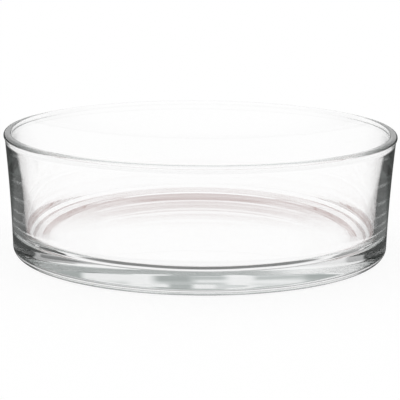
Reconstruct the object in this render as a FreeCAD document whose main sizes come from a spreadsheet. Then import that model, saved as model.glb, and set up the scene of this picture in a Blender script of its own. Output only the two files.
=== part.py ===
import FreeCAD, Part
import math
import os

import Sketcher

# Low round bowl of clear glass that is filled with water for floating candles.
# It is one piece: a thick round base, a wall that leans outward and grows
# thinner toward the mouth, and a polished bead round the rim.
# Millimetres. The origin is the centre of the base plane and +Z is the bowl's axis.

# Every size that can be set by itself: alias, value, what it measures
SIZES = (
    ("rim_diameter", 190.0, "across the outside of the rim bead"),
    ("overall_height", 60.0, "base plane to the top of the rim"),
    ("bead_round", 1.6, "radius of the rim bead's outer round"),
    ("bead_stand_out", 0.6, "how far the bead stands out from the wall below it"),
    ("rim_width", 3.9, "glass between the bead's outside and the mouth"),
    ("mouth_round", 1.4, "round on the inner edge of the rim"),
    ("foot_inset", 4.1, "how far the wall's outer line is inside the bead at the base plane"),
    ("outer_hollow", 0.52, "dip of the wall's outer line from the straight"),
    ("inner_hollow", 0.65, "dip of the wall's inner line from the straight"),
    ("wall_at_floor", 6.1, "glass between the wall's two lines at the floor's height"),
    ("floor_thickness", 10.0, "base plane to the floor inside"),
    ("floor_corner_round", 7.2, "round where the floor turns up into the wall"),
    ("heel_round", 4.7, "round where the base turns up into the wall"),
    ("standing_ring_width", 13.0, "from the wall's outer line at the base plane to the push-up"),
    ("push_up_depth", 0.6, "rise of the shallow recess under the base, at its edge"),
    ("push_up_middle", 1.1, "further rise of the recess from its edge to its middle"),
    ("push_up_flank", 4.0, "width of the slope round the recess"),
    ("cut_overrun", 5.0, "how far a cutting outline runs past the glass"),
)

NODE = "glass_bowl"
SHEET = "sizes"
FULL_TURN = 360.0
LEVEL = "0 deg"
QUARTER_TURN = "90 deg"
HALF_TURN = "180 deg"

# The rim's small rounds are turned from this many straight bands each
BANDS_UNDER_BEAD = 2
BANDS_OVER_BEAD = 3
BANDS_AT_MOUTH = 2

# Radii of the half section, each one worked out from the sizes
RIM_RADIUS = "sizes.rim_diameter / 2"
NECK_RADIUS = RIM_RADIUS + " - sizes.bead_stand_out"
BEAD_CENTRE_RADIUS = RIM_RADIUS + " - sizes.bead_round"
MOUTH_RADIUS = RIM_RADIUS + " - sizes.rim_width"
MOUTH_CENTRE_RADIUS = MOUTH_RADIUS + " + sizes.mouth_round"
FOOT_RADIUS = RIM_RADIUS + " - sizes.foot_inset"
PUSH_UP_RADIUS = FOOT_RADIUS + " - sizes.standing_ring_width"
PUSH_UP_TOP_RADIUS = PUSH_UP_RADIUS + " - sizes.push_up_flank"

# Heights of the half section: the bead meets the wall's outer line at the neck
RIM_HEIGHT = "sizes.overall_height"
BEAD_CENTRE_HEIGHT = RIM_HEIGHT + " - sizes.bead_round"
MOUTH_CENTRE_HEIGHT = RIM_HEIGHT + " - sizes.mouth_round"
NECK_ANGLE = "acos(1 - sizes.bead_stand_out / sizes.bead_round)"
NECK_HEIGHT = BEAD_CENTRE_HEIGHT + " - sizes.bead_round * sin(" + NECK_ANGLE + ")"
FLOOR_HEIGHT = "sizes.floor_thickness"
ABOVE_RIM = RIM_HEIGHT + " + sizes.cut_overrun"
BELOW_BASE = "-sizes.cut_overrun"

# At the floor's height the outer line has leaned out by the floor's share of its run
WALL_LEAN = "(sizes.foot_inset - sizes.bead_stand_out)"
FLOOR_RADIUS = (
    FOOT_RADIUS + " + " + WALL_LEAN + " * " + FLOOR_HEIGHT + " / (" + NECK_HEIGHT + ")"
    " - sizes.wall_at_floor"
)


def arc_radius(run, rise, dip):
    """Return the radius of an arc over a chord, from the chord's run, its rise and its dip."""
    chord_squared = "((" + run + ")^2 + (" + rise + ")^2)"
    return "(" + chord_squared + " / 4 + (" + dip + ")^2) / (2 * (" + dip + "))"


OUTER_WALL_RADIUS = arc_radius(WALL_LEAN, NECK_HEIGHT, "sizes.outer_hollow")
INNER_WALL_RADIUS = arc_radius(
    MOUTH_RADIUS + " - (" + FLOOR_RADIUS + ")",
    MOUTH_CENTRE_HEIGHT + " - " + FLOOR_HEIGHT,
    "sizes.inner_hollow",
)


def make_sheet(doc):
    """Write the driving dimensions into the document's sheet."""
    sheet = doc.addObject("Spreadsheet::Sheet", SHEET)
    for row, (alias, value, meaning) in enumerate(SIZES, start=1):
        sheet.set("A%d" % row, alias)
        sheet.set("B%d" % row, str(value))
        sheet.set("C%d" % row, meaning)
        sheet.setAlias("B%d" % row, alias)
    doc.recompute()
    return sheet


def plane_of(body, role):
    """Return one of the body's own origin planes."""
    for feature in body.Origin.OriginFeatures:
        if feature.Role == role:
            return feature
    raise ValueError("no origin plane " + role)


class HalfSection:
    """A closed outline in the XZ plane, radius across and height up, bound to the sheet.

    A corner is a pair of expressions on the sheet's sizes, where an empty one is zero.
    """

    def __init__(self, body, name):
        self.sketch = body.newObject("Sketcher::SketchObject", name)
        self.sketch.AttachmentSupport = [(plane_of(body, "XZ_Plane"), "")]
        self.sketch.MapMode = "FlatFace"
        self.sides = []

    def value(self, term):
        """Return what an expression comes to now."""
        return float(self.sketch.evalExpression(term)) if term else 0.0

    def place(self, corner):
        """Return where a corner is now."""
        return FreeCAD.Vector(self.value(corner[0]), self.value(corner[1]), 0.0)

    def bind(self, kind, target, term):
        """Hold a size of the outline to an expression."""
        index = self.sketch.addConstraint(Sketcher.Constraint(kind, *target, self.value(term)))
        self.sketch.setExpression("Constraints[%d]" % index, term)

    def pin(self, point, corner):
        """Hold a point of the outline to a corner's two expressions."""
        for kind, axis, term in (("DistanceX", -2, corner[0]), ("DistanceY", -1, corner[1])):
            if term:
                self.bind(kind, (-1, 1, *point), term)
            else:
                self.sketch.addConstraint(Sketcher.Constraint("PointOnObject", *point, axis))

    def line(self, start, end):
        """Add a straight side and return its index."""
        index = self.sketch.addGeometry(Part.LineSegment(self.place(start), self.place(end)), False)
        self.sides.append((start, (index, 1), (index, 2)))
        return index

    def hollow(self, start, end, radius):
        """Add a side that dips to the left of its straight line, and return its index."""
        first, last, size = self.place(start), self.place(end), self.value(radius)
        along = last - first
        to_right = FreeCAD.Vector(along.y, -along.x, 0.0).normalize()
        centre = (first + last) / 2 + to_right * math.sqrt(size ** 2 - (along.Length / 2) ** 2)
        angles = [math.atan2(corner.y - centre.y, corner.x - centre.x) for corner in (last, first)]
        circle = Part.Circle(centre, FreeCAD.Vector(0, 0, 1), size)
        index = self.sketch.addGeometry(Part.ArcOfCircle(circle, *(a % math.tau for a in angles)), False)
        self.bind("Radius", (index,), radius)
        self.sides.append((start, (index, 2), (index, 1)))
        return index

    def bands(self, centre, radius, first_angle, last_angle, count):
        """Add a small round as straight bands between corners on its arc."""
        corners = []
        for step in range(count + 1):
            share = "%d / %d" % (step, count)
            angle = "(%s + (%s - (%s)) * %s)" % (first_angle, last_angle, first_angle, share)
            corners.append((
                centre[0] + " + " + radius + " * cos(" + angle + ")",
                centre[1] + " + " + radius + " * sin(" + angle + ")",
            ))
        for start, end in zip(corners, corners[1:]):
            self.line(start, end)

    def close(self):
        """Join the sides end to end and hold every corner in place."""
        for count, (start, begin, _) in enumerate(self.sides):
            before = self.sides[count - 1][2]
            self.sketch.addConstraint(Sketcher.Constraint("Coincident", *before, *begin))
            self.pin(begin, start)

    def round_corner(self, first, second, corner, radius):
        """Round the corner between two sides; a mark keeps the place that both sides aim at."""
        touches = [self.middle(side) for side in (first, second)]
        self.sketch.fillet(first, second, *touches, self.value(radius), True, False)
        self.bind("Radius", (self.sketch.GeometryCount - 1,), radius)
        mark = (self.sketch.addGeometry(Part.Point(self.place(corner)), True), 1)
        self.pin(mark, corner)
        for side in (first, second):
            self.sketch.addConstraint(Sketcher.Constraint("PointOnObject", *mark, side))

    def middle(self, side):
        """Return the point half way along a side."""
        curve = self.sketch.Geometry[side]
        return curve.value((curve.FirstParameter + curve.LastParameter) / 2)


def turn(body, kind, name, outline):
    """Turn an outline about the bowl's axis, to add glass or to take it away."""
    feature = body.newObject(kind, name)
    feature.Profile = outline.sketch
    feature.ReferenceAxis = (outline.sketch, ["V_Axis"])
    feature.Angle = FULL_TURN
    body.Document.recompute()
    return feature


def cut(body, name, outline):
    """Take an outline's turned shape out of the glass and make sure that some of it went."""
    before = body.Shape.Volume
    turn(body, "PartDesign::Groove", name, outline)
    if body.Shape.Volume >= before:
        raise ValueError(name + " cuts nothing")


def blank_outline(body):
    """Outline of the solid blank: base, rounded heel, leaning wall, rim bead and top."""
    outline = HalfSection(body, "blank_outline")
    foot, neck = (FOOT_RADIUS, ""), (NECK_RADIUS, NECK_HEIGHT)
    crest, top = (BEAD_CENTRE_RADIUS, RIM_HEIGHT), ("", RIM_HEIGHT)
    base = outline.line(("", ""), foot)
    wall = outline.hollow(foot, neck, OUTER_WALL_RADIUS)
    bead = ((BEAD_CENTRE_RADIUS, BEAD_CENTRE_HEIGHT), "sizes.bead_round")
    outline.bands(*bead, "-" + NECK_ANGLE, LEVEL, BANDS_UNDER_BEAD)
    outline.bands(*bead, LEVEL, QUARTER_TURN, BANDS_OVER_BEAD)
    outline.line(crest, top)
    outline.line(top, ("", ""))
    outline.close()
    outline.round_corner(base, wall, foot, "sizes.heel_round")
    return outline


def cavity_outline(body):
    """Outline of the hollow: flat floor, rounded corner, inner wall line and rounded mouth."""
    outline = HalfSection(body, "cavity_outline")
    centre, corner = ("", FLOOR_HEIGHT), (FLOOR_RADIUS, FLOOR_HEIGHT)
    mouth, crest = (MOUTH_RADIUS, MOUTH_CENTRE_HEIGHT), (MOUTH_CENTRE_RADIUS, RIM_HEIGHT)
    crest_above, centre_above = (MOUTH_CENTRE_RADIUS, ABOVE_RIM), ("", ABOVE_RIM)
    floor = outline.line(centre, corner)
    wall = outline.hollow(corner, mouth, INNER_WALL_RADIUS)
    lip = ((MOUTH_CENTRE_RADIUS, MOUTH_CENTRE_HEIGHT), "sizes.mouth_round")
    outline.bands(*lip, HALF_TURN, QUARTER_TURN, BANDS_AT_MOUTH)
    outline.line(crest, crest_above)
    outline.line(crest_above, centre_above)
    outline.line(centre_above, centre)
    outline.close()
    outline.round_corner(floor, wall, corner, "sizes.floor_corner_round")
    return outline


def push_up_outline(body):
    """Outline of the shallow recess under the base, which leaves a ring to stand on."""
    outline = HalfSection(body, "push_up_outline")
    below_centre, below_foot = ("", BELOW_BASE), (PUSH_UP_RADIUS, BELOW_BASE)
    foot, edge = (PUSH_UP_RADIUS, ""), (PUSH_UP_TOP_RADIUS, "sizes.push_up_depth")
    middle = ("", "sizes.push_up_depth + sizes.push_up_middle")
    corners = (below_centre, below_foot, foot, edge, middle)
    for start, end in zip(corners, corners[1:] + corners[:1]):
        outline.line(start, end)
    outline.close()
    return outline


def make_bowl(doc):
    """Build the glass: a solid blank, then the cavity and the push-up taken out of it."""
    body = doc.addObject("PartDesign::Body", NODE)
    body.Label = NODE
    body.Placement = FreeCAD.Placement()
    turn(body, "PartDesign::Revolution", "blank", blank_outline(body))
    cut(body, "cavity", cavity_outline(body))
    cut(body, "push_up", push_up_outline(body))
    return body


def check(doc, bodies):
    """Stop if anything in the document failed or a piece isn't one sound solid."""
    for item in doc.Objects:
        if "Invalid" in item.State or "Error" in item.State:
            raise ValueError(item.Name + " failed: " + ", ".join(item.State))
        if item.isDerivedFrom("Sketcher::SketchObject") and not item.FullyConstrained:
            raise ValueError(item.Name + " has a loose side")
    for body in bodies:
        if body.Shape.isNull() or not body.Shape.isValid() or len(body.Shape.Solids) != 1:
            raise ValueError(body.Label + " isn't one sound solid")


def main():
    """Build the document, check it and write each piece to its own file."""
    doc = FreeCAD.newDocument("candle_bowl")
    make_sheet(doc)
    bodies = [make_bowl(doc)]
    doc.recompute()
    check(doc, bodies)
    os.makedirs("parts", exist_ok=True)
    for body in bodies:
        body.Shape.exportStep("parts/" + body.Label + ".step")
        box = body.Shape.optimalBoundingBox()
        print("%s: %.2f x %.2f x %.2f mm, base at %.2f" % (
            body.Label, box.XLength, box.YLength, box.ZLength, box.ZMin))


main()
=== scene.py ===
"""Looks of a low round glass bowl for floating candles, standing on a white table."""

from __future__ import annotations

import logging
import math
from dataclasses import dataclass
from enum import Enum
from typing import Callable, Iterable, Sequence, Union

import bpy
from mathutils import Matrix, Vector

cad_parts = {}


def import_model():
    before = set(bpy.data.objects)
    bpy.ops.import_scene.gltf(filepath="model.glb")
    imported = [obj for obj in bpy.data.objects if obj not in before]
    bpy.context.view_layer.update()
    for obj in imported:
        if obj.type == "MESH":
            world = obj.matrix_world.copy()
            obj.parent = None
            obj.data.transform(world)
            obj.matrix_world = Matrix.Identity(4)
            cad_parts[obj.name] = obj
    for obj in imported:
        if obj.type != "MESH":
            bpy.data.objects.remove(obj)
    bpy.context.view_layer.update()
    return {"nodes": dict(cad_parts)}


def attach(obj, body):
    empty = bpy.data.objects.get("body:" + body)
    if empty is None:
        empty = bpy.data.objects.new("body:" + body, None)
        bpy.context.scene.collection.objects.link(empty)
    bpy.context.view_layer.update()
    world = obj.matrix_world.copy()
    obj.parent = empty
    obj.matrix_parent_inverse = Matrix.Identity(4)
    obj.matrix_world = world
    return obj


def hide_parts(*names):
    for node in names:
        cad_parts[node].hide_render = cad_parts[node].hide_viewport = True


LOG = logging.getLogger("candle_bowl")
MM = 0.001
FRAME_PIXELS = 400
SENSOR_WIDTH_MM = 36.0
CLIP_RANGE = (0.01, 100.0)
WHITE = (1.0, 1.0, 1.0, 1.0)
HALF_TURN = 180.0

# Light goes round inside the glass many times before it leaves
BOUNCES = 32

Number = Union[int, float]
Operand = Union["Term", Number]
Point = tuple[float, float]
Levels = tuple[Point, ...]
Channels = tuple[float, float, float]
Place = tuple[float, float, float]
Colour = tuple[float, float, float, float]


class Ray(Enum):
    """What the Light Path node tells of a ray."""

    MIRRORED = "Is Glossy Ray"
    BENT = "Is Transmission Ray"
    MIRRORINGS = "Glossy Depth"
    PASSES = "Transmission Depth"


class Term:
    """One output socket, with arithmetic that adds Math nodes to its tree."""

    def __init__(self, tree: ShaderTree, socket: bpy.types.NodeSocket) -> None:
        """Wrap a socket.

        Args:
            tree: The tree that the socket's node belongs to.
            socket: The output socket.
        """
        self.tree = tree
        self.socket = socket

    def _math(self, operation: str, *operands: Operand) -> Term:
        """Return a Math node's result over some operands."""
        return self.tree.node("ShaderNodeMath", {"operation": operation}, dict(enumerate(operands)))

    def __add__(self, other: Operand) -> Term:
        """Return self + other."""
        return self._math("ADD", self, other)

    __radd__ = __add__

    def __sub__(self, other: Operand) -> Term:
        """Return self - other."""
        return self._math("SUBTRACT", self, other)

    def __rsub__(self, other: Operand) -> Term:
        """Return other - self."""
        return self._math("SUBTRACT", other, self)

    def __mul__(self, other: Operand) -> Term:
        """Return self * other."""
        return self._math("MULTIPLY", self, other)

    __rmul__ = __mul__

    def __truediv__(self, other: Operand) -> Term:
        """Return self / other."""
        return self._math("DIVIDE", self, other)

    def __rtruediv__(self, other: Operand) -> Term:
        """Return other / self."""
        return self._math("DIVIDE", other, self)

    def either(self, other: Operand) -> Term:
        """Return the larger of two terms, which is "or" for masks."""
        return self._math("MAXIMUM", self, other)

    def size(self) -> Term:
        """Return the term without its sign."""
        return self._math("ABSOLUTE", self)

    def angle_to(self, other: Operand) -> Term:
        """Return the angle in radians whose tangent is self / other."""
        return self._math("ARCTAN2", self, other)

    def arcsine(self) -> Term:
        """Return the angle in radians whose sine is self."""
        return self._math("ARCSINE", self)

    def toward(self, other: Operand, share: Operand) -> Term:
        """Return the term moved a share of the way to another."""
        return self + (other - self) * share

    def step(self, start: float, end: float) -> Term:
        """Return a smooth step that is 0 at start and 1 at end.

        Args:
            start: Where the step leaves 0.
            end: Where the step reaches 1, above or below start.

        Returns:
            The step.
        """
        return self.tree.node(
            "ShaderNodeMapRange",
            {"interpolation_type": "SMOOTHSTEP"},
            {"Value": self, "From Min": start, "From Max": end, "To Min": 0.0, "To Max": 1.0},
        )

    def at_least(self, count: int) -> Term:
        """Return 1 where a whole count reaches a number, and 0 below it."""
        return self.step(count - 0.6, count - 0.4)


class ShaderTree:
    """A material's or a world's node tree, built from plain calls."""

    def __init__(self, owner: Union[bpy.types.Material, bpy.types.World]) -> None:
        """Clear the owner's tree and start it afresh.

        Args:
            owner: The material or the world that holds the tree.
        """
        owner.use_nodes = True
        self.nodes = owner.node_tree.nodes
        self.links = owner.node_tree.links
        self.nodes.clear()

    def node(
        self,
        kind: str,
        settings: dict[str, object],
        values: dict[Union[str, int], object],
        output: Union[str, int] = 0,
    ) -> Term:
        """Add a node and return one of its outputs.

        Args:
            kind: The node's type.
            settings: Properties of the node, set before its sockets are read.
            values: Input sockets by name or place, each a number, a tuple or a term.
            output: The output's name or place.

        Returns:
            The output as a term.
        """
        made = self.nodes.new(kind)
        for name, value in settings.items():
            if name == "stops":
                fill_ramp(made.color_ramp, value)
            else:
                setattr(made, name, value)
        for name, value in values.items():
            if isinstance(value, Term):
                self.links.new(value.socket, made.inputs[name])
            else:
                made.inputs[name].default_value = value
        return Term(self, made.outputs[output])

    def show(self, kind: str, shader: Term, socket: str = "Surface") -> None:
        """Lead a shader to the tree's output.

        Args:
            kind: The output node's type.
            shader: The shader that is shown.
            socket: The output node's socket.
        """
        made = self.nodes.get(kind) or self.nodes.new(kind)
        made.name = kind
        self.links.new(shader.socket, made.inputs[socket])

    def ray(self, output: Ray) -> Term:
        """Return one of the Light Path node's outputs."""
        return self.node("ShaderNodeLightPath", {}, {}, output.value)

    def glow(self, strength: float) -> Term:
        """Return a white glow."""
        return self.node("ShaderNodeEmission", {}, {"Color": WHITE, "Strength": strength})

    def blend(self, share: Operand, first: Term, second: Term) -> Term:
        """Return a mix of two shaders, with the second one's share."""
        return self.node("ShaderNodeMixShader", {}, {0: share, 1: first, 2: second})

    def grey_by_height(self, place: Term, levels: Levels) -> Term:
        """Return a grey that changes with the height that is looked at.

        Args:
            place: The height, from 0 straight down to 1 straight up.
            levels: Heights in degrees and the grey at each.

        Returns:
            The grey.
        """
        stops = [(degrees / HALF_TURN + 0.5, grey) for degrees, grey in levels]
        return self.node("ShaderNodeValToRGB", {"stops": stops}, {"Fac": place})


def fill_ramp(ramp: bpy.types.ColorRamp, stops: Sequence[Point]) -> None:
    """Give a ramp its grey stops.

    Args:
        ramp: The ramp.
        stops: Places from 0 to 1 and the grey at each.
    """
    while len(ramp.elements) < len(stops):
        ramp.elements.new(0.5)
    for element, (place, grey) in zip(ramp.elements, stops):
        element.position = place
        element.color = (grey, grey, grey, 1.0)


@dataclass(frozen=True)
class HotGlass:
    """Clear soda glass, fire-polished, with the faint cast that its thick parts show."""

    name: str = "clear_glass"
    index: float = 1.52
    cast: Colour = (0.50, 0.535, 0.53, 1.0)
    cast_density: float = 0.8

    def material(self) -> bpy.types.Material:
        """Make the glass.

        Returns:
            The glass as a material.
        """
        made = bpy.data.materials.new(self.name)
        tree = ShaderTree(made)
        surface = {
            "Base Color": WHITE,
            "Metallic": 0.0,
            "Roughness": 0.0,
            "IOR": self.index,
            "Transmission Weight": 1.0,
        }
        body = {"Color": self.cast, "Density": self.cast_density}
        tree.show("ShaderNodeOutputMaterial", tree.node("ShaderNodeBsdfPrincipled", {}, surface))
        absorption = tree.node("ShaderNodeVolumeAbsorption", {}, body)
        tree.show("ShaderNodeOutputMaterial", absorption, "Volume")
        return made


@dataclass(frozen=True)
class WhiteTable:
    """White table top: plain to the eye, with a painted shadow close to the bowl that only the
    bowl's outside mirrors.

    Light that the glass bends goes through to the white surroundings. Sizes are in millimetres.
    """

    name: str = "white_table_painted_shadow"
    glow: float = 0.85
    # Painted shadow round the bowl: where it fades out, in millimetres, and its dark glow.
    painted_shadow_inside: float = 112.0
    painted_shadow_outside: float = 122.0
    painted_shadow_level: float = 0.08

    def material(self) -> bpy.types.Material:
        """Make the table's white, with its painted shadow round the bowl.

        Returns:
            The white as a material.
        """
        made = bpy.data.materials.new(self.name)
        tree = ShaderTree(made)
        paint = tree.node("ShaderNodeBsdfDiffuse", {}, {"Color": WHITE})
        top = tree.blend(self.glow, paint, tree.glow(1.0))
        clear = tree.node("ShaderNodeBsdfTransparent", {}, {})
        seen_in_glass = tree.ray(Ray.MIRRORED).either(tree.ray(Ray.BENT))
        surface = tree.blend(seen_in_glass, top, clear)
        # Painted shadow: a dark glow on the table round the bowl, seen only in the bowl's outside
        # reflections.
        surface = tree.blend(self._painted_shadow_mask(tree), surface, tree.glow(self.painted_shadow_level))
        tree.show("ShaderNodeOutputMaterial", surface)
        return made

    def _painted_shadow_mask(self, tree: ShaderTree) -> Term:
        """Mask the painted shadow close to the bowl, which only the bowl's outside mirrors.

        Args:
            tree: The tree that the mask is worked out in.

        Returns:
            The mask.
        """
        spot = tree.node("ShaderNodeTexCoord", {}, {}, "Object")
        reach = tree.node("ShaderNodeVectorMath", {"operation": "LENGTH"}, {0: spot}, 1)
        close = reach.step(self.painted_shadow_outside * MM, self.painted_shadow_inside * MM)
        mirrored = tree.ray(Ray.MIRRORINGS).at_least(1)
        return close * mirrored * (1 - tree.ray(Ray.PASSES).at_least(1))


@dataclass(frozen=True)
class Arc:
    """A round stretch of the bowl's half section, between two angles in degrees."""

    centre: Point
    radius: float
    start: float
    end: float
    count: int

    def points(self) -> list[Point]:
        """Place points along the arc.

        Returns:
            The points from start to end.
        """
        made = []
        for step in range(self.count + 1):
            angle = math.radians(self.start + (self.end - self.start) * step / self.count)
            across = self.centre[0] + self.radius * math.cos(angle)
            up = self.centre[1] + self.radius * math.sin(angle)
            made.append((across, up))
        return made


@dataclass(frozen=True)
class Fineness:
    """How many stretches each part of the half section is made of."""

    disc: int = 24
    wall: int = 24
    corner: int = 18
    bead: int = 14
    mouth: int = 10
    turn: int = 384


@dataclass
class GlassBowl:
    """The bowl: one turned piece of glass. Sizes are in millimetres, angles in degrees."""

    rim_diameter: float = 190.0
    overall_height: float = 60.0
    bead_round: float = 1.6
    bead_stand_out: float = 0.6
    rim_width: float = 3.9
    mouth_round: float = 1.4
    mouth_end: float = 176.0
    foot_inset: float = 4.1
    outer_hollow: float = 0.52
    inner_hollow: float = 0.65
    wall_at_floor: float = 6.1
    floor_thickness: float = 10.0
    floor_corner_round: float = 7.2
    heel_round: float = 4.7
    standing_ring_width: float = 13.0
    push_up_depth: float = 0.6
    push_up_flank: float = 4.0
    push_up_dome: float = 1.1
    edge_margin: float = 0.4
    fineness: Fineness = Fineness()
    finish: HotGlass = HotGlass()

    @property
    def rim_radius(self) -> float:
        """Radius to the outside of the rim bead."""
        return self.rim_diameter / 2

    @property
    def foot_radius(self) -> float:
        """Radius where the wall's outer line would meet the base plane."""
        return self.rim_radius - self.foot_inset

    @property
    def bead_height(self) -> float:
        """Height of the rim bead's centre."""
        return self.overall_height - self.bead_round

    @property
    def mouth_height(self) -> float:
        """Height of the centre of the mouth's round."""
        return self.overall_height - self.mouth_round

    @property
    def mouth_radius(self) -> float:
        """Radius of the mouth."""
        return self.rim_radius - self.rim_width

    def neck(self) -> Point:
        """Find where the bead meets the wall's outer line.

        Returns:
            The radius and the height there.
        """
        dip = self.bead_round - self.bead_stand_out
        drop = math.sqrt(self.bead_round**2 - dip**2)
        return (self.rim_radius - self.bead_stand_out, self.bead_height - drop)

    def inner_foot(self) -> Point:
        """Find where the wall's inner line would meet the floor.

        Returns:
            The radius and the height there.
        """
        neck = self.neck()
        lean = (neck[0] - self.foot_radius) * self.floor_thickness / neck[1]
        return (self.foot_radius + lean - self.wall_at_floor, self.floor_thickness)

    def outer_wall(self, height: float) -> Point:
        """Return the wall's outer line at a height."""
        return hollow_line((self.foot_radius, 0.0), self.neck(), self.outer_hollow, height)

    def inner_wall(self, height: float) -> Point:
        """Return the wall's inner line at a height."""
        mouth = (self.mouth_radius, self.mouth_height)
        return hollow_line(self.inner_foot(), mouth, self.inner_hollow, height)

    def half_section(self) -> list[Point]:
        """Draw the outline of the glass.

        Returns:
            Points from the middle of the base round to the middle of the floor.
        """
        corner = self.fineness.corner
        heel = corner_arc(self.outer_wall, 0.0, self.heel_round, corner)
        floor = corner_arc(self.inner_wall, self.floor_thickness, self.floor_corner_round, corner)
        section = self._underside(heel[0]) + heel[1:]
        section += map(self.outer_wall, self._heights(heel[-1][1], self.neck()[1]))
        section += self._rim()
        section += map(self.inner_wall, self._heights(self.mouth_height, floor[-1][1]))
        section += reversed(floor)
        inward = reversed(self._radii(floor[0][0])[:-1])
        section += [(radius, self.floor_thickness) for radius in inward]
        return without_repeats(section)

    def _radii(self, reach: float) -> list[float]:
        """Return even steps from the axis out to a radius."""
        return [reach * step / self.fineness.disc for step in range(self.fineness.disc + 1)]

    def _heights(self, start: float, end: float) -> list[float]:
        """Return even steps between two heights, without the two."""
        count = self.fineness.wall
        return [start + (end - start) * step / count for step in range(1, count)]

    def _underside(self, heel_start: Point) -> list[Point]:
        """Draw the shallow recess and the ring that the bowl stands on.

        Args:
            heel_start: Where the round of the heel leaves the base plane.

        Returns:
            Points from the middle of the base out to the heel.
        """
        base_edge = self.foot_radius - self.standing_ring_width
        top_edge = base_edge - self.push_up_flank
        section = [
            (radius, self.push_up_depth + self.push_up_dome * (1 - (radius / top_edge) ** 2))
            for radius in self._radii(top_edge)
        ]
        section += with_margins((top_edge, self.push_up_depth), (base_edge, 0.0), self.edge_margin)
        section += with_margins((base_edge, 0.0), heel_start, self.edge_margin)
        return section

    def _rim(self) -> list[Point]:
        """Draw the bead and the mouth's round.

        Returns:
            Points from the neck over the rim into the mouth.
        """
        bead_centre = (self.rim_radius - self.bead_round, self.bead_height)
        mouth_centre = (self.mouth_radius + self.mouth_round, self.mouth_height)
        neck_angle = -math.degrees(math.asin((self.bead_height - self.neck()[1]) / self.bead_round))
        top = HALF_TURN / 2
        bead = Arc(bead_centre, self.bead_round, neck_angle, top, self.fineness.bead)
        mouth = Arc(mouth_centre, self.mouth_round, top, self.mouth_end, self.fineness.mouth)
        return bead.points() + mouth.points()

    def build(self, node: str) -> bpy.types.Object:
        """Turn the half section into a closed mesh and dress it.

        Args:
            node: Name of the solid that the mesh stands for.

        Returns:
            The bowl.
        """
        section = self.half_section()
        rings = section[1:-1]
        vertices = self._vertices(section[0], rings, section[-1])
        mesh = bpy.data.meshes.new("clear_bowl")
        mesh.from_pydata(vertices, [], self._faces(len(rings)))
        mesh.validate()
        mesh.shade_smooth()
        mesh.materials.append(self.finish.material())
        bowl = bpy.data.objects.new("clear_bowl", mesh)
        bpy.context.scene.collection.objects.link(bowl)
        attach(bowl, "root")
        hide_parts(node)
        return bowl

    def _vertices(self, bottom: Point, rings: Sequence[Point], top: Point) -> list[Place]:
        """Turn the half section's points round the axis.

        Args:
            bottom: The point at the middle of the base.
            rings: The points off the axis.
            top: The point at the middle of the floor.

        Returns:
            The bottom, one ring for each point and the top, in metres.
        """
        turn = self.fineness.turn
        vertices = [(0.0, 0.0, bottom[1] * MM)]
        for radius, height in rings:
            for step in range(turn):
                angle = math.tau * step / turn
                across, back = radius * MM * math.cos(angle), radius * MM * math.sin(angle)
                vertices.append((across, back, height * MM))
        vertices.append((0.0, 0.0, top[1] * MM))
        return vertices

    def _faces(self, rings: int) -> list[Sequence[int]]:
        """Join the rings and close the two poles.

        Args:
            rings: Number of rings.

        Returns:
            The faces as places in the list of vertices.
        """
        turn = self.fineness.turn
        last = 1 + rings * turn
        faces: list[Sequence[int]] = []
        for step in range(turn):
            beside = (step + 1) % turn
            faces.append((0, 1 + beside, 1 + step))
            for ring in range(rings - 1):
                low, high = 1 + ring * turn, 1 + (ring + 1) * turn
                faces.append((low + step, low + beside, high + beside, high + step))
            top = last - turn
            faces.append((top + step, top + beside, last))
        return faces


def hollow_line(start: Point, end: Point, dip: float, height: float) -> Point:
    """Find a point of a line that dips toward the axis.

    Args:
        start: The line's lower end.
        end: The line's upper end.
        dip: How far the line's middle is inside the straight.
        height: The point's height.

    Returns:
        The point.
    """
    share = (height - start[1]) / (end[1] - start[1])
    radius = start[0] + (end[0] - start[0]) * share - 4 * dip * share * (1 - share)
    return (radius, height)


def with_margins(start: Point, end: Point, margin: float) -> list[Point]:
    """Draw a straight stretch with a point close to each end, so that its shading stays flat.

    Args:
        start: Where the stretch starts.
        end: Where the stretch ends.
        margin: How far the close points are from the ends, if there is room.

    Returns:
        Five points from start to end.
    """
    most = 0.3
    share = min(margin / math.dist(start, end), most)
    made = []
    for part in (0.0, share, 0.5, 1 - share, 1.0):
        made.append(tuple(low + (high - low) * part for low, high in zip(start, end)))
    return made


def corner_arc(
    wall: Callable[[float], Point], level: float, radius: float, count: int
) -> list[Point]:
    """Draw the round between a level and a wall line that rises from it.

    Args:
        wall: The wall line's point at a height.
        level: The level's height.
        radius: The round's radius.
        count: Number of stretches.

    Returns:
        Points from the level up to the wall line.
    """
    tries, span = 40, 0.01
    height = level + radius
    slope = 0.0
    for _ in range(tries):
        low, high = wall(height - span), wall(height + span)
        slope = math.atan2(high[0] - low[0], high[1] - low[1])
        height = level + radius - radius * math.sin(slope)
    centre = (wall(height)[0] - radius * math.cos(slope), level + radius)
    return Arc(centre, radius, -HALF_TURN / 2, -math.degrees(slope), count).points()


def without_repeats(section: list[Point]) -> list[Point]:
    """Leave out the points of an outline that lie on each other.

    Args:
        section: The outline.

    Returns:
        The outline with each place once.
    """
    nearest = 0.01
    kept = [section[0]]
    for point in section[1:]:
        if math.dist(point, kept[-1]) > nearest:
            kept.append(point)
    return kept


@dataclass(frozen=True)
class View:
    """The direction that is looked along: its bearing in degrees, its height from 0 to 1."""

    bearing: Term
    place: Term

    @classmethod
    def of(cls, tree: ShaderTree) -> View:
        """Read the direction in a world's tree.

        Args:
            tree: The world's tree.

        Returns:
            The direction. Its place is 0 straight down and 1 straight up.
        """
        direction = tree.node("ShaderNodeTexCoord", {}, {}, "Generated")
        across, along, up = (
            tree.node("ShaderNodeSeparateXYZ", {}, {0: direction}, axis) for axis in range(3)
        )
        return cls(across.angle_to(along) * (HALF_TURN / math.pi), up.arcsine() / math.pi + 0.5)


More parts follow.
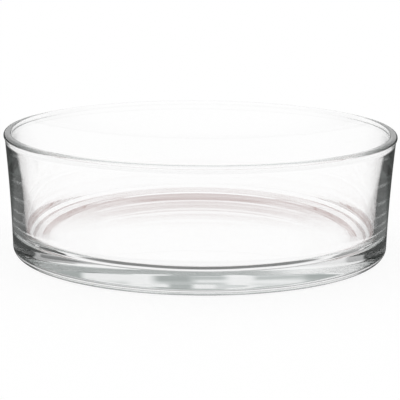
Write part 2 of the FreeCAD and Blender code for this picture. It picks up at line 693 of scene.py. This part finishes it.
@dataclass(frozen=True)
class Card:
    """A card that stands in front of the surroundings, between two bearings and two heights.

    Bearings and heights are in degrees. A card on both sides takes the bearing without its sign.
    """

    bearings: Point
    heights: Point
    level: float
    edge: float = 3.0
    both_sides: bool = True

    def over(self, behind: Term, view: View) -> Term:
        """Lay the card over what is behind it.

        Args:
            behind: The level behind the card.
            view: The direction that is looked along.

        Returns:
            The level with the card in front.
        """
        bearing = view.bearing.size() if self.both_sides else view.bearing
        height = view.place * HALF_TURN - HALF_TURN / 2
        share = self._between(height, self.heights) * self._between(bearing, self.bearings)
        return behind.toward(self.level, share)

    def _between(self, value: Term, ends: Point) -> Term:
        """Return a mask that is 1 between two ends, with soft edges."""
        start, end, half = ends[0], ends[1], self.edge / 2
        return value.step(start - half, start + half) * value.step(end + half, end - half)


@dataclass(frozen=True)
class Surround:
    """What one kind of path meets round the bowl: a level for each height, with cards in front."""

    levels: Levels
    cards: tuple[Card, ...] = ()

    def paint(self, tree: ShaderTree, view: View) -> Term:
        """Work out the level that is met along a direction.

        Args:
            tree: The tree that the level is worked out in.
            view: The direction.

        Returns:
            The level.
        """
        level = tree.grey_by_height(view.place, self.levels)
        for card in self.cards:
            level = card.over(level, view)
        return level


@dataclass(frozen=True)
class Surroundings:
    """White surroundings, with darker cards for the light that the glass mirrors.

    Each field holds what one kind of path meets. The first five are for paths that pass at most
    two faces of the glass: mirrored on the outside alone, then mirrored inside once, twice, three
    or four times, and more. The next two are for paths that pass more faces and are mirrored two
    to five times, and more. The last three say how strongly the darkness takes red, green and
    blue: paths mirrored once or twice, paths mirrored more, and paths that pass more faces.
    """

    outside: Surround = Surround((
        (-90, 1.0), (-16, 1.0), (-14.8, 0.38), (-13.5, 0.38), (-12.9, 0.1), (1, 0.1),
        (3, 0.4), (6, 0.9), (8, 1.0),
    ))
    once: Surround = Surround(
        (
            (-90, 0.12), (-73, 0.15), (-66, 0.9), (-21.9, 0.95), (-21.1, 0.06), (-17, 0.08),
            (-12, 0.45), (-8, 0.75), (2, 0.8), (7, 0.4), (9, 0.05), (14.2, 0.05), (16, 0.8),
            (90, 1.0),
        ),
        (
            Card((44.0, 190.0), (-100.0, -53.0), 0.18, 16.0),
            Card((62.0, 190.0), (-100.0, -46.0), 0.18, 8.0),
            Card((-60.0, -26.0), (-40.5, -24.8), 0.03, 1.5, both_sides=False),
            Card((-33.0, -17.0), (-27.0, -22.8), 0.1, 1.5, both_sides=False),
            Card((22.0, 56.0), (-41.0, -25.0), 0.3, 3.0, both_sides=False),
        ),
    )
    twice: Surround = Surround(
        ((-90, 0.8), (-13, 0.75), (-9, 0.85), (-2.5, 0.92), (0, 0.97), (18, 0.97)),
        (
            Card((-18.0, 18.0), (-7.5, -3.0), 0.62, 2.5, both_sides=False),
            Card((19.0, 60.0), (-100.0, -5.0), 0.45, 3.0, both_sides=False),
            Card((27.0, 60.0), (-5.0, 2.5), 0.42, 3.0, both_sides=False),
            Card((34.0, 60.0), (2.5, 8.0), 0.45, 4.0, both_sides=False),
            Card((39.0, 60.0), (8.0, 100.0), 0.45, 3.0, both_sides=False),
            Card((-60.0, -37.0), (-100.0, -4.0), 0.46, 3.0, both_sides=False),
            Card((-60.0, -45.0), (-4.0, 100.0), 0.46, 3.0, both_sides=False),
            Card((23.0, 44.0), (-100.0, -10.8), 0.1, 1.2, both_sides=False),
            Card((47.5, 104.0), (-100.0, 100.0), 0.01, 3.0),
        ),
    )
    few: Surround = Surround(
        ((-90, 0.95), (90, 0.95)),
        (
            Card((-9.0, -3.0), (-20.0, -8.0), 0.75, 1.5, both_sides=False),
            Card((1.2, 5.6), (-20.0, -8.0), 0.5, 1.5, both_sides=False),
            Card((-36.0, -10.5), (8.0, 14.6), 0.6, 2.0, both_sides=False),
            Card((-36.0, -22.5), (8.0, 15.0), 0.42, 4.0, both_sides=False),
            Card((-30.0, -10.0), (16.5, 31.0), 0.52, 3.0, both_sides=False),
            Card((-5.0, 1.5), (8.0, 14.2), 0.55, 2.5, both_sides=False),
            Card((1.0, 8.5), (8.0, 16.0), 0.44, 3.0, both_sides=False),
            Card((-5.0, 6.0), (16.0, 31.0), 0.4, 3.0, both_sides=False),
            Card((14.0, 45.0), (16.2, 31.0), 0.5, 3.0, both_sides=False),
            Card((26.0, 45.0), (8.0, 31.0), 0.45, 3.0, both_sides=False),
            Card((22.5, 28.5), (15.3, 26.0), 0.25, 1.5, both_sides=False),
            Card((46.0, 106.0), (-100.0, 29.0), 0.01, 4.0),
            Card((62.0, 190.0), (29.0, 34.0), 0.4, 4.0),
            Card((62.0, 190.0), (34.0, 55.0), 0.8, 4.0),
            Card((62.0, 190.0), (55.0, 100.0), 0.5, 4.0),
            Card((-135.0, -58.0), (30.0, 57.0), 1.0, 4.0, both_sides=False),
        ),
    )
    many: Surround = Surround(
        (
            (-90, 0.8), (3, 0.75), (8, 0.45), (20, 0.5), (26, 0.55), (36, 0.5), (42, 0.33),
            (90, 0.3),
        ),
        (
            Card((40.0, 190.0), (-25.0, 20.0), 0.08, 10.0),
            Card((55.0, 125.0), (20.0, 31.0), 0.12, 4.0),
            Card((-175.0, -140.0), (-60.0, -22.0), 1.0, 2.0, both_sides=False),
            Card((-175.0, -38.0), (25.0, 62.0), 1.0, 3.0, both_sides=False),
        ),
    )
    ring: Surround = Surround(
        (
            (-90, 0.4), (-24, 0.45), (-20, 0.8), (-12, 0.95), (46, 0.9), (50, 0.75), (57, 0.85),
            (60, 0.5), (66, 0.45), (78, 0.35), (90, 0.6),
        ),
        (
            Card((-20.0, 35.0), (-7.0, 26.0), 0.25, 6.0),
            Card((-20.0, 60.0), (26.0, 46.0), 0.45, 4.0),
        ),
    )
    echo: Surround = Surround(
        (
            (-90, 0.9), (14, 0.9), (18, 0.35), (30, 0.4), (34, 0.45), (57, 0.45), (60, 0.4),
            (78, 0.42), (90, 0.6),
        ),
        (
            Card((60.0, 122.0), (-6.0, 15.0), 0.2, 4.0),
            Card((60.0, 122.0), (15.0, 27.0), 0.3, 4.0),
            Card((60.0, 122.0), (27.0, 100.0), 0.15, 4.0),
            Card((122.0, 190.0), (10.0, 57.0), 0.97, 4.0),
            Card((122.0, 190.0), (57.0, 100.0), 0.3, 4.0),
        ),
    )
    darkened_once: Channels = (1.0, 0.997, 0.999)
    darkened_often: Channels = (1.04, 0.985, 1.0)
    darkened_far: Channels = (0.84, 1.03, 1.05)

    def build(self) -> None:
        """Paint the surroundings into the scene's world."""
        world = bpy.data.worlds.new("studio")
        bpy.context.scene.world = world
        tree = ShaderTree(world)
        mirrorings, passes = tree.ray(Ray.MIRRORINGS), tree.ray(Ray.PASSES)
        level = self._level(tree, mirrorings, passes)
        colour = self._colour(tree, level, mirrorings, passes)
        background = tree.node("ShaderNodeBackground", {}, {"Color": colour, "Strength": 1.0})
        tree.show("ShaderNodeOutputWorld", background)

    def _level(self, tree: ShaderTree, mirrorings: Term, passes: Term) -> Term:
        """Choose the level by the kind of path.

        Args:
            tree: The world's tree.
            mirrorings: How often the light was mirrored.
            passes: How often the light passed a face of the glass.

        Returns:
            The level that the path meets.
        """
        view = View.of(tree)
        near = self.once.paint(tree, view)
        for surround, count in ((self.twice, 2), (self.few, 3), (self.many, 5)):
            near = near.toward(surround.paint(tree, view), mirrorings.at_least(count))
        far = 1 + (self.ring.paint(tree, view) - 1) * mirrorings.at_least(2)
        far = far.toward(self.echo.paint(tree, view), mirrorings.at_least(6))
        inside = near.toward(far, passes.at_least(3))
        return self.outside.paint(tree, view).toward(inside, passes.at_least(1))

    def _colour(self, tree: ShaderTree, level: Term, mirrorings: Term, passes: Term) -> Term:
        """Give the dark cards their faint colour.

        Args:
            tree: The world's tree.
            level: The level that the path meets.
            mirrorings: How often the light was mirrored.
            passes: How often the light passed a face of the glass.

        Returns:
            The colour that the path meets.
        """
        dim = (1 - level) * mirrorings.at_least(1)
        often = mirrorings.at_least(3) * level * 2
        far = passes.at_least(3)
        shares = [
            1 - dim * ((often * (many - one) + one) * (1 - far) + far * deep)
            for one, many, deep in zip(self.darkened_once, self.darkened_often, self.darkened_far)
        ]
        return tree.node("ShaderNodeCombineColor", {}, dict(enumerate(shares)))


@dataclass
class Studio:
    """White table, surroundings and the camera's place. Sizes are in millimetres."""

    table_width: float = 6000.0
    table_drop: float = 0.05
    table: WhiteTable = WhiteTable()
    surroundings: Surroundings = Surroundings()
    camera_distance: float = 900.0
    camera_elevation: float = 11.771
    camera_roll: float = 0.481
    focal_pixels: float = 1843.8
    aim_height: float = 25.3

    def build(self) -> None:
        """Build the table, the surroundings and the camera."""
        self._table()
        self.surroundings.build()
        self._camera()

    def _table(self) -> None:
        """Lay the table a hair below the bowl's standing ring."""
        half = self.table_width / 2 * MM
        corners = [(-half, -half, 0), (half, -half, 0), (half, half, 0), (-half, half, 0)]
        mesh = bpy.data.meshes.new("table")
        mesh.from_pydata(corners, [], [(0, 1, 2, 3)])
        table = bpy.data.objects.new("table", mesh)
        bpy.context.scene.collection.objects.link(table)
        table.location.z = -self.table_drop * MM
        mesh.materials.append(self.table.material())

    def _camera(self) -> None:
        """Stand the camera at the photograph's place."""
        lift = math.radians(self.camera_elevation)
        back = Vector((0.0, -math.cos(lift), math.sin(lift)))
        data = bpy.data.cameras.new("camera")
        data.sensor_width = SENSOR_WIDTH_MM
        data.lens = self.focal_pixels / FRAME_PIXELS * SENSOR_WIDTH_MM
        data.clip_start, data.clip_end = CLIP_RANGE
        camera = bpy.data.objects.new("camera", data)
        bpy.context.scene.collection.objects.link(camera)
        aim = Vector((0.0, 0.0, self.aim_height * MM))
        camera.location = aim + back * self.camera_distance * MM
        turn = (-back).to_track_quat("-Z", "Y").to_matrix().to_4x4()
        roll = Matrix.Rotation(math.radians(self.camera_roll), 4, "Z")
        camera.matrix_world = Matrix.Translation(camera.location) @ turn @ roll
        bpy.context.scene.camera = camera


def set_scene() -> None:
    """Set the plain view and let light go round inside the glass as often as it does."""
    scene = bpy.context.scene
    scene.view_settings.view_transform = "Standard"
    scene.cycles.max_bounces = BOUNCES
    scene.cycles.glossy_bounces = BOUNCES
    scene.cycles.transmission_bounces = BOUNCES


def main() -> None:
    """Build the bowl and the studio round it."""
    logging.basicConfig(level=logging.INFO, format="%(message)s")
    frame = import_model()
    LOG.info("solids: %s", ", ".join(sorted(frame["nodes"])))
    bowl = GlassBowl().build("glass_bowl")
    LOG.info("%s: %d faces", bowl.name, len(bowl.data.polygons))
    Studio().build()
    set_scene()


if __name__ == "__main__":
    main()
